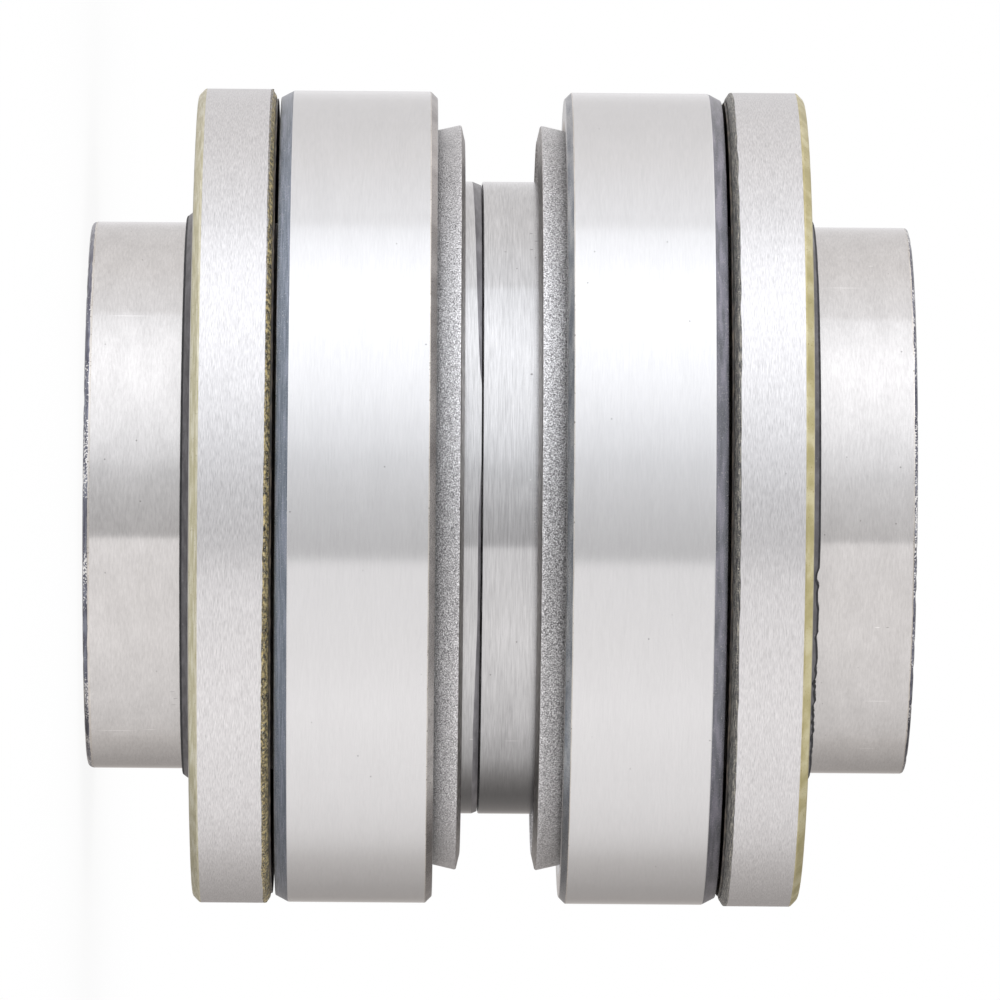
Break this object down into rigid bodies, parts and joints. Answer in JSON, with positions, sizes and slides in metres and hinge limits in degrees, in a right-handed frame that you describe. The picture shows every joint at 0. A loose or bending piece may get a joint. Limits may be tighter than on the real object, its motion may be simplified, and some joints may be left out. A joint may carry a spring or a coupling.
{
  "type": "tapered roller bearing",
  "caption": "Sealed tapered roller bearing set with paired rows face to face, long inner ring hubs, pressed cages and shaft seals.",
  "frame": {"origin": "on the shaft's axis, at the end face of the lower inner ring's hub", "axes": "+Z along the shaft's axis from the lower hub to the upper hub"},
  "size_m": [0.1304, 0.1304, 0.1306],
  "materials": {
    "ground_steel": "ground and honed, satin",
    "lapped_steel": "lapped, bright",
    "sheet_steel": "shot blasted, matt",
    "case_steel": "brushed, satin",
    "nitrile_rubber": "moulded, matt",
    "spring_wire": "drawn wire"
  },
  "bodies": {
    "inner_rings": {"lower_inner_ring": "ground_steel", "upper_inner_ring": "ground_steel"},
    "lower_cup": {"lower_cup": "ground_steel"},
    "lower_cage": {"lower_cage": "sheet_steel"},
    "lower_seal": {"lower_seal_case": "case_steel", "lower_seal_lip": "nitrile_rubber", "lower_garter_spring": "spring_wire"},
    "lower_roller_01": {"lower_roller_01": "lapped_steel"},
    "lower_roller_02": {"lower_roller_02": "lapped_steel"},
    "lower_roller_03": {"lower_roller_03": "lapped_steel"},
    "lower_roller_04": {"lower_roller_04": "lapped_steel"},
    "lower_roller_05": {"lower_roller_05": "lapped_steel"},
    "lower_roller_06": {"lower_roller_06": "lapped_steel"},
    "lower_roller_07": {"lower_roller_07": "lapped_steel"},
    "lower_roller_08": {"lower_roller_08": "lapped_steel"},
    "lower_roller_09": {"lower_roller_09": "lapped_steel"},
    "lower_roller_10": {"lower_roller_10": "lapped_steel"},
    "lower_roller_11": {"lower_roller_11": "lapped_steel"},
    "lower_roller_12": {"lower_roller_12": "lapped_steel"},
    "lower_roller_13": {"lower_roller_13": "lapped_steel"},
    "lower_roller_14": {"lower_roller_14": "lapped_steel"},
    "lower_roller_15": {"lower_roller_15": "lapped_steel"},
    "lower_roller_16": {"lower_roller_16": "lapped_steel"},
    "lower_roller_17": {"lower_roller_17": "lapped_steel"},
    "lower_roller_18": {"lower_roller_18": "lapped_steel"},
    "lower_roller_19": {"lower_roller_19": "lapped_steel"},
    "lower_roller_20": {"lower_roller_20": "lapped_steel"},
    "upper_cup": {"upper_cup": "ground_steel"},
    "upper_cage": {"upper_cage": "sheet_steel"},
    "upper_seal": {"upper_seal_case": "case_steel", "upper_seal_lip": "nitrile_rubber", "upper_garter_spring": "spring_wire"},
    "upper_roller_01": {"upper_roller_01": "lapped_steel"},
    "upper_roller_02": {"upper_roller_02": "lapped_steel"},
    "upper_roller_03": {"upper_roller_03": "lapped_steel"},
    "upper_roller_04": {"upper_roller_04": "lapped_steel"},
    "upper_roller_05": {"upper_roller_05": "lapped_steel"},
    "upper_roller_06": {"upper_roller_06": "lapped_steel"},
    "upper_roller_07": {"upper_roller_07": "lapped_steel"},
    "upper_roller_08": {"upper_roller_08": "lapped_steel"},
    "upper_roller_09": {"upper_roller_09": "lapped_steel"},
    "upper_roller_10": {"upper_roller_10": "lapped_steel"},
    "upper_roller_11": {"upper_roller_11": "lapped_steel"},
    "upper_roller_12": {"upper_roller_12": "lapped_steel"},
    "upper_roller_13": {"upper_roller_13": "lapped_steel"},
    "upper_roller_14": {"upper_roller_14": "lapped_steel"},
    "upper_roller_15": {"upper_roller_15": "lapped_steel"},
    "upper_roller_16": {"upper_roller_16": "lapped_steel"},
    "upper_roller_17": {"upper_roller_17": "lapped_steel"},
    "upper_roller_18": {"upper_roller_18": "lapped_steel"},
    "upper_roller_19": {"upper_roller_19": "lapped_steel"},
    "upper_roller_20": {"upper_roller_20": "lapped_steel"}
  },
  "joints": [
    {"name": "lower_cup_spin", "type": "hinge", "parent": "inner_rings", "child": "lower_cup", "pos_m": [0, 0, 0.0653], "axis": [0, 0, 1], "continuous": true},
    {"name": "lower_cage_spin", "type": "hinge", "parent": "inner_rings", "child": "lower_cage", "pos_m": [0, 0, 0.0653], "axis": [0, 0, 1], "continuous": true},
    {"name": "lower_seal_spin", "type": "hinge", "parent": "inner_rings", "child": "lower_seal", "pos_m": [0, 0, 0.0653], "axis": [0, 0, 1], "continuous": true},
    {"name": "lower_roller_01_spin", "type": "hinge", "parent": "lower_cage", "child": "lower_roller_01", "pos_m": [0.05077, 0, 0.04495], "axis": [0.2164, 0, 0.9763], "continuous": true},
    {"name": "lower_roller_02_spin", "type": "hinge", "parent": "lower_cage", "child": "lower_roller_02", "pos_m": [0.04829, -0.01569, 0.04495], "axis": [0.2058, -0.0669, 0.9763], "continuous": true},
    {"name": "lower_roller_03_spin", "type": "hinge", "parent": "lower_cage", "child": "lower_roller_03", "pos_m": [0.04108, -0.02984, 0.04495], "axis": [0.1751, -0.1272, 0.9763], "continuous": true},
    {"name": "lower_roller_04_spin", "type": "hinge", "parent": "lower_cage", "child": "lower_roller_04", "pos_m": [0.02984, -0.04108, 0.04495], "axis": [0.1272, -0.1751, 0.9763], "continuous": true},
    {"name": "lower_roller_05_spin", "type": "hinge", "parent": "lower_cage", "child": "lower_roller_05", "pos_m": [0.01569, -0.04829, 0.04495], "axis": [0.0669, -0.2058, 0.9763], "continuous": true},
    {"name": "lower_roller_06_spin", "type": "hinge", "parent": "lower_cage", "child": "lower_roller_06", "pos_m": [0, -0.05077, 0.04495], "axis": [0, -0.2164, 0.9763], "continuous": true},
    {"name": "lower_roller_07_spin", "type": "hinge", "parent": "lower_cage", "child": "lower_roller_07", "pos_m": [-0.01569, -0.04829, 0.04495], "axis": [-0.0669, -0.2058, 0.9763], "continuous": true},
    {"name": "lower_roller_08_spin", "type": "hinge", "parent": "lower_cage", "child": "lower_roller_08", "pos_m": [-0.02984, -0.04108, 0.04495], "axis": [-0.1272, -0.1751, 0.9763], "continuous": true},
    {"name": "lower_roller_09_spin", "type": "hinge", "parent": "lower_cage", "child": "lower_roller_09", "pos_m": [-0.04108, -0.02984, 0.04495], "axis": [-0.1751, -0.1272, 0.9763], "continuous": true},
    {"name": "lower_roller_10_spin", "type": "hinge", "parent": "lower_cage", "child": "lower_roller_10", "pos_m": [-0.04829, -0.01569, 0.04495], "axis": [-0.2058, -0.0669, 0.9763], "continuous": true},
    {"name": "lower_roller_11_spin", "type": "hinge", "parent": "lower_cage", "child": "lower_roller_11", "pos_m": [-0.05077, 0, 0.04495], "axis": [-0.2164, 0, 0.9763], "continuous": true},
    {"name": "lower_roller_12_spin", "type": "hinge", "parent": "lower_cage", "child": "lower_roller_12", "pos_m": [-0.04829, 0.01569, 0.04495], "axis": [-0.2058, 0.0669, 0.9763], "continuous": true},
    {"name": "lower_roller_13_spin", "type": "hinge", "parent": "lower_cage", "child": "lower_roller_13", "pos_m": [-0.04108, 0.02984, 0.04495], "axis": [-0.1751, 0.1272, 0.9763], "continuous": true},
    {"name": "lower_roller_14_spin", "type": "hinge", "parent": "lower_cage", "child": "lower_roller_14", "pos_m": [-0.02984, 0.04108, 0.04495], "axis": [-0.1272, 0.1751, 0.9763], "continuous": true},
    {"name": "lower_roller_15_spin", "type": "hinge", "parent": "lower_cage", "child": "lower_roller_15", "pos_m": [-0.01569, 0.04829, 0.04495], "axis": [-0.0669, 0.2058, 0.9763], "continuous": true},
    {"name": "lower_roller_16_spin", "type": "hinge", "parent": "lower_cage", "child": "lower_roller_16", "pos_m": [0, 0.05077, 0.04495], "axis": [0, 0.2164, 0.9763], "continuous": true},
    {"name": "lower_roller_17_spin", "type": "hinge", "parent": "lower_cage", "child": "lower_roller_17", "pos_m": [0.01569, 0.04829, 0.04495], "axis": [0.0669, 0.2058, 0.9763], "continuous": true},
    {"name": "lower_roller_18_spin", "type": "hinge", "parent": "lower_cage", "child": "lower_roller_18", "pos_m": [0.02984, 0.04108, 0.04495], "axis": [0.1272, 0.1751, 0.9763], "continuous": true},
    {"name": "lower_roller_19_spin", "type": "hinge", "parent": "lower_cage", "child": "lower_roller_19", "pos_m": [0.04108, 0.02984, 0.04495], "axis": [0.1751, 0.1272, 0.9763], "continuous": true},
    {"name": "lower_roller_20_spin", "type": "hinge", "parent": "lower_cage", "child": "lower_roller_20", "pos_m": [0.04829, 0.01569, 0.04495], "axis": [0.2058, 0.0669, 0.9763], "continuous": true},
    {"name": "upper_cup_spin", "type": "hinge", "parent": "inner_rings", "child": "upper_cup", "pos_m": [0, 0, 0.0653], "axis": [0, 0, 1], "continuous": true},
    {"name": "upper_cage_spin", "type": "hinge", "parent": "inner_rings", "child": "upper_cage", "pos_m": [0, 0, 0.0653], "axis": [0, 0, 1], "continuous": true},
    {"name": "upper_seal_spin", "type": "hinge", "parent": "inner_rings", "child": "upper_seal", "pos_m": [0, 0, 0.0653], "axis": [0, 0, 1], "continuous": true},
    {"name": "upper_roller_01_spin", "type": "hinge", "parent": "upper_cage", "child": "upper_roller_01", "pos_m": [0.05077, 0, 0.08565], "axis": [-0.2164, 0, 0.9763], "continuous": true},
    {"name": "upper_roller_02_spin", "type": "hinge", "parent": "upper_cage", "child": "upper_roller_02", "pos_m": [0.04829, 0.01569, 0.08565], "axis": [-0.2058, -0.0669, 0.9763], "continuous": true},
    {"name": "upper_roller_03_spin", "type": "hinge", "parent": "upper_cage", "child": "upper_roller_03", "pos_m": [0.04108, 0.02984, 0.08565], "axis": [-0.1751, -0.1272, 0.9763], "continuous": true},
    {"name": "upper_roller_04_spin", "type": "hinge", "parent": "upper_cage", "child": "upper_roller_04", "pos_m": [0.02984, 0.04108, 0.08565], "axis": [-0.1272, -0.1751, 0.9763], "continuous": true},
    {"name": "upper_roller_05_spin", "type": "hinge", "parent": "upper_cage", "child": "upper_roller_05", "pos_m": [0.01569, 0.04829, 0.08565], "axis": [-0.0669, -0.2058, 0.9763], "continuous": true},
    {"name": "upper_roller_06_spin", "type": "hinge", "parent": "upper_cage", "child": "upper_roller_06", "pos_m": [0, 0.05077, 0.08565], "axis": [0, -0.2164, 0.9763], "continuous": true},
    {"name": "upper_roller_07_spin", "type": "hinge", "parent": "upper_cage", "child": "upper_roller_07", "pos_m": [-0.01569, 0.04829, 0.08565], "axis": [0.0669, -0.2058, 0.9763], "continuous": true},
    {"name": "upper_roller_08_spin", "type": "hinge", "parent": "upper_cage", "child": "upper_roller_08", "pos_m": [-0.02984, 0.04108, 0.08565], "axis": [0.1272, -0.1751, 0.9763], "continuous": true},
    {"name": "upper_roller_09_spin", "type": "hinge", "parent": "upper_cage", "child": "upper_roller_09", "pos_m": [-0.04108, 0.02984, 0.08565], "axis": [0.1751, -0.1272, 0.9763], "continuous": true},
    {"name": "upper_roller_10_spin", "type": "hinge", "parent": "upper_cage", "child": "upper_roller_10", "pos_m": [-0.04829, 0.01569, 0.08565], "axis": [0.2058, -0.0669, 0.9763], "continuous": true},
    {"name": "upper_roller_11_spin", "type": "hinge", "parent": "upper_cage", "child": "upper_roller_11", "pos_m": [-0.05077, 0, 0.08565], "axis": [0.2164, 0, 0.9763], "continuous": true},
    {"name": "upper_roller_12_spin", "type": "hinge", "parent": "upper_cage", "child": "upper_roller_12", "pos_m": [-0.04829, -0.01569, 0.08565], "axis": [0.2058, 0.0669, 0.9763], "continuous": true},
    {"name": "upper_roller_13_spin", "type": "hinge", "parent": "upper_cage", "child": "upper_roller_13", "pos_m": [-0.04108, -0.02984, 0.08565], "axis": [0.1751, 0.1272, 0.9763], "continuous": true},
    {"name": "upper_roller_14_spin", "type": "hinge", "parent": "upper_cage", "child": "upper_roller_14", "pos_m": [-0.02984, -0.04108, 0.08565], "axis": [0.1272, 0.1751, 0.9763], "continuous": true},
    {"name": "upper_roller_15_spin", "type": "hinge", "parent": "upper_cage", "child": "upper_roller_15", "pos_m": [-0.01569, -0.04829, 0.08565], "axis": [0.0669, 0.2058, 0.9763], "continuous": true},
    {"name": "upper_roller_16_spin", "type": "hinge", "parent": "upper_cage", "child": "upper_roller_16", "pos_m": [0, -0.05077, 0.08565], "axis": [0, 0.2164, 0.9763], "continuous": true},
    {"name": "upper_roller_17_spin", "type": "hinge", "parent": "upper_cage", "child": "upper_roller_17", "pos_m": [0.01569, -0.04829, 0.08565], "axis": [-0.0669, 0.2058, 0.9763], "continuous": true},
    {"name": "upper_roller_18_spin", "type": "hinge", "parent": "upper_cage", "child": "upper_roller_18", "pos_m": [0.02984, -0.04108, 0.08565], "axis": [-0.1272, 0.1751, 0.9763], "continuous": true},
    {"name": "upper_roller_19_spin", "type": "hinge", "parent": "upper_cage", "child": "upper_roller_19", "pos_m": [0.04108, -0.02984, 0.08565], "axis": [-0.1751, 0.1272, 0.9763], "continuous": true},
    {"name": "upper_roller_20_spin", "type": "hinge", "parent": "upper_cage", "child": "upper_roller_20", "pos_m": [0.04829, -0.01569, 0.08565], "axis": [-0.2058, 0.0669, 0.9763], "continuous": true}
  ],
  "couplings": [
    {"joint": "lower_cage_spin", "follows": "lower_cup_spin", "ratio": 0.55925},
    {"joint": "lower_roller_01_spin", "follows": "lower_cup_spin", "ratio": 4.0617},
    {"joint": "lower_roller_02_spin", "follows": "lower_cup_spin", "ratio": 4.0617},
    {"joint": "lower_roller_03_spin", "follows": "lower_cup_spin", "ratio": 4.0617},
    {"joint": "lower_roller_04_spin", "follows": "lower_cup_spin", "ratio": 4.0617},
    {"joint": "lower_roller_05_spin", "follows": "lower_cup_spin", "ratio": 4.0617},
    {"joint": "lower_roller_06_spin", "follows": "lower_cup_spin", "ratio": 4.0617},
    {"joint": "lower_roller_07_spin", "follows": "lower_cup_spin", "ratio": 4.0617},
    {"joint": "lower_roller_08_spin", "follows": "lower_cup_spin", "ratio": 4.0617},
    {"joint": "lower_roller_09_spin", "follows": "lower_cup_spin", "ratio": 4.0617},
    {"joint": "lower_roller_10_spin", "follows": "lower_cup_spin", "ratio": 4.0617},
    {"joint": "lower_roller_11_spin", "follows": "lower_cup_spin", "ratio": 4.0617},
    {"joint": "lower_roller_12_spin", "follows": "lower_cup_spin", "ratio": 4.0617},
    {"joint": "lower_roller_13_spin", "follows": "lower_cup_spin", "ratio": 4.0617},
    {"joint": "lower_roller_14_spin", "follows": "lower_cup_spin", "ratio": 4.0617},
    {"joint": "lower_roller_15_spin", "follows": "lower_cup_spin", "ratio": 4.0617},
    {"joint": "lower_roller_16_spin", "follows": "lower_cup_spin", "ratio": 4.0617},
    {"joint": "lower_roller_17_spin", "follows": "lower_cup_spin", "ratio": 4.0617},
    {"joint": "lower_roller_18_spin", "follows": "lower_cup_spin", "ratio": 4.0617},
    {"joint": "lower_roller_19_spin", "follows": "lower_cup_spin", "ratio": 4.0617},
    {"joint": "lower_roller_20_spin", "follows": "lower_cup_spin", "ratio": 4.0617},
    {"joint": "upper_cage_spin", "follows": "upper_cup_spin", "ratio": 0.55925},
    {"joint": "upper_roller_01_spin", "follows": "upper_cup_spin", "ratio": 4.0617},
    {"joint": "upper_roller_02_spin", "follows": "upper_cup_spin", "ratio": 4.0617},
    {"joint": "upper_roller_03_spin", "follows": "upper_cup_spin", "ratio": 4.0617},
    {"joint": "upper_roller_04_spin", "follows": "upper_cup_spin", "ratio": 4.0617},
    {"joint": "upper_roller_05_spin", "follows": "upper_cup_spin", "ratio": 4.0617},
    {"joint": "upper_roller_06_spin", "follows": "upper_cup_spin", "ratio": 4.0617},
    {"joint": "upper_roller_07_spin", "follows": "upper_cup_spin", "ratio": 4.0617},
    {"joint": "upper_roller_08_spin", "follows": "upper_cup_spin", "ratio": 4.0617},
    {"joint": "upper_roller_09_spin", "follows": "upper_cup_spin", "ratio": 4.0617},
    {"joint": "upper_roller_10_spin", "follows": "upper_cup_spin", "ratio": 4.0617},
    {"joint": "upper_roller_11_spin", "follows": "upper_cup_spin", "ratio": 4.0617},
    {"joint": "upper_roller_12_spin", "follows": "upper_cup_spin", "ratio": 4.0617},
    {"joint": "upper_roller_13_spin", "follows": "upper_cup_spin", "ratio": 4.0617},
    {"joint": "upper_roller_14_spin", "follows": "upper_cup_spin", "ratio": 4.0617},
    {"joint": "upper_roller_15_spin", "follows": "upper_cup_spin", "ratio": 4.0617},
    {"joint": "upper_roller_16_spin", "follows": "upper_cup_spin", "ratio": 4.0617},
    {"joint": "upper_roller_17_spin", "follows": "upper_cup_spin", "ratio": 4.0617},
    {"joint": "upper_roller_18_spin", "follows": "upper_cup_spin", "ratio": 4.0617},
    {"joint": "upper_roller_19_spin", "follows": "upper_cup_spin", "ratio": 4.0617},
    {"joint": "upper_roller_20_spin", "follows": "upper_cup_spin", "ratio": 4.0617}
  ]
}
